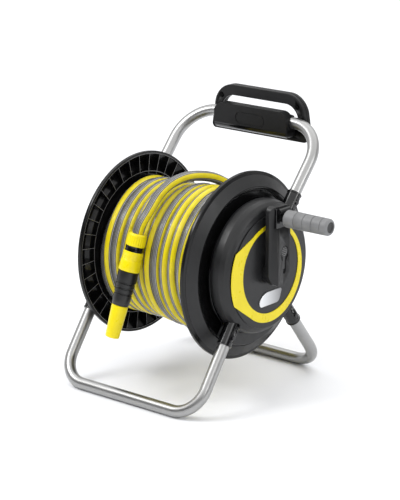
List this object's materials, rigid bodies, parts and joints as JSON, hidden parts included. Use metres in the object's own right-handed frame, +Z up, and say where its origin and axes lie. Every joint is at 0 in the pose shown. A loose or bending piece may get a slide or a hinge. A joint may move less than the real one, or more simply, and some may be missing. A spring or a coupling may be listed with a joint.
{
  "type": "garden hose reel",
  "caption": "Free-standing garden hose reel with a bent-tube frame, a hand-cranked drum, a wound hose with a spray nozzle and a carrying handle.",
  "frame": {"origin": "on the floor, under the middle of the box of the hard parts, measured without the hose and its nozzle", "axes": "+X along the drum's axle towards the crank, +Y towards the back and the carrying handle, +Z up"},
  "size_m": [0.475, 0.3729, 0.472],
  "materials": {
    "frame_tube": "satin silver paint",
    "hub_plastic": "satin dark grey",
    "black_plastic": "fine grained black",
    "drum_plastic": "glossy black",
    "ring_yellow": "yellow film",
    "badge_silver": "silver, blank",
    "grip_grey": "mid grey, soft",
    "hose_pvc": "ribbed grey with yellow stripes",
    "yellow_plastic": "yellow",
    "steel": "zinc plated",
    "seal_rubber": "black",
    "bush_plastic": "natural"
  },
  "bodies": {
    "frame": {"bearing_bush_left": "bush_plastic", "bearing_bush_right": "bush_plastic", "carry_tube": "frame_tube", "cover_screw_left_1": "steel", "cover_screw_left_2": "steel", "cover_screw_left_3": "steel", "cover_screw_right_1": "steel", "cover_screw_right_2": "steel", "cover_screw_right_3": "steel", "front_foot_tube": "frame_tube", "handle_back_cover": "black_plastic", "handle_front_shell": "black_plastic", "handle_rear_shell": "black_plastic", "hub_cover_left": "hub_plastic", "hub_cover_right": "hub_plastic", "hub_frame_left": "black_plastic", "hub_frame_right": "black_plastic", "loop_screw_left": "steel", "loop_screw_right": "steel", "plate_screw_left": "steel", "plate_screw_right": "steel", "rear_foot_tube": "frame_tube"},
    "drum": {"drum_core": "drum_plastic", "drum_flange_right": "drum_plastic", "drum_flange_left": "drum_plastic", "crank_shaft": "steel", "shaft_retainer": "steel", "water_spindle": "black_plastic", "inlet_o_ring": "seal_rubber", "outlet_elbow": "black_plastic", "crank_disc": "hub_plastic", "face_ring": "ring_yellow", "badge_plate": "badge_silver", "crank_arm": "hub_plastic", "arm_back_cover": "hub_plastic", "fold_bracket": "drum_plastic", "hose_winding": "hose_pvc", "hose_tail": "hose_pvc", "connector_nut": "yellow_plastic", "connector_body": "black_plastic", "nozzle_body": "black_plastic"},
    "slider": {"arm_slider": "black_plastic"},
    "grip_hinge": {"grip_collar": "grip_grey", "grip_spindle": "steel", "fold_pin": "steel"},
    "grip": {"crank_grip": "grip_grey", "grip_end_cap": "black_plastic"},
    "inlet": {"inlet_swivel": "black_plastic"},
    "collar": {"connector_collar": "yellow_plastic"},
    "tip": {"nozzle_tip": "yellow_plastic"},
    "button_front_right": {"snap_button_front_right": "black_plastic"},
    "button_rear_right": {"snap_button_rear_right": "black_plastic"},
    "button_upper_right": {"snap_button_upper_right": "black_plastic"},
    "button_front_left": {"snap_button_front_left": "black_plastic"},
    "button_rear_left": {"snap_button_rear_left": "black_plastic"},
    "button_upper_left": {"snap_button_upper_left": "black_plastic"}
  },
  "joints": [
    {"name": "drum_spin", "type": "hinge", "parent": "frame", "child": "drum", "pos_m": [-0.0495, -0.00905, 0.219], "axis": [1, 0, 0], "continuous": true},
    {"name": "grip_fold", "type": "hinge", "parent": "drum", "child": "grip_hinge", "pos_m": [0.1565, -0.00905, 0.3135], "axis": [0, 1, 0], "range_deg": [0, 90]},
    {"name": "grip_spin", "type": "hinge", "parent": "grip_hinge", "child": "grip", "pos_m": [0.2005, -0.00905, 0.3135], "axis": [1, 0, 0], "continuous": true},
    {"name": "arm_latch_slide", "type": "slide", "parent": "drum", "child": "slider", "axis": [0, 0, 1], "range_m": [-0.006, 0], "stiffness_N_per_m": 150, "springref_m": 0.003},
    {"name": "inlet_turn", "type": "hinge", "parent": "frame", "child": "inlet", "pos_m": [-0.2245, -0.00905, 0.219], "axis": [1, 0, 0], "continuous": true},
    {"name": "collar_release", "type": "slide", "parent": "drum", "child": "collar", "axis": [0.1108, 0.2527, 0.9612], "range_m": [0, 0.005], "stiffness_N_per_m": 400, "springref_m": -0.003},
    {"name": "tip_twist", "type": "hinge", "parent": "drum", "child": "tip", "pos_m": [-0.0678, -0.155, 0.1928], "axis": [-0.1108, -0.2527, -0.9612], "range_deg": [0, 270]},
    {"name": "button_front_right_press", "type": "slide", "parent": "frame", "child": "button_front_right", "axis": [-1, 0, 0], "range_m": [0, 0.004], "stiffness_N_per_m": 350, "springref_m": -0.002},
    {"name": "button_rear_right_press", "type": "slide", "parent": "frame", "child": "button_rear_right", "axis": [-1, 0, 0], "range_m": [0, 0.004], "stiffness_N_per_m": 350, "springref_m": -0.002},
    {"name": "button_upper_right_press", "type": "slide", "parent": "frame", "child": "button_upper_right", "axis": [-1, 0, 0], "range_m": [0, 0.004], "stiffness_N_per_m": 350, "springref_m": -0.002},
    {"name": "button_front_left_press", "type": "slide", "parent": "frame", "child": "button_front_left", "axis": [1, 0, 0], "range_m": [0, 0.004], "stiffness_N_per_m": 350, "springref_m": -0.002},
    {"name": "button_rear_left_press", "type": "slide", "parent": "frame", "child": "button_rear_left", "axis": [1, 0, 0], "range_m": [0, 0.004], "stiffness_N_per_m": 350, "springref_m": -0.002},
    {"name": "button_upper_left_press", "type": "slide", "parent": "frame", "child": "button_upper_left", "axis": [1, 0, 0], "range_m": [0, 0.004], "stiffness_N_per_m": 350, "springref_m": -0.002}
  ]
}
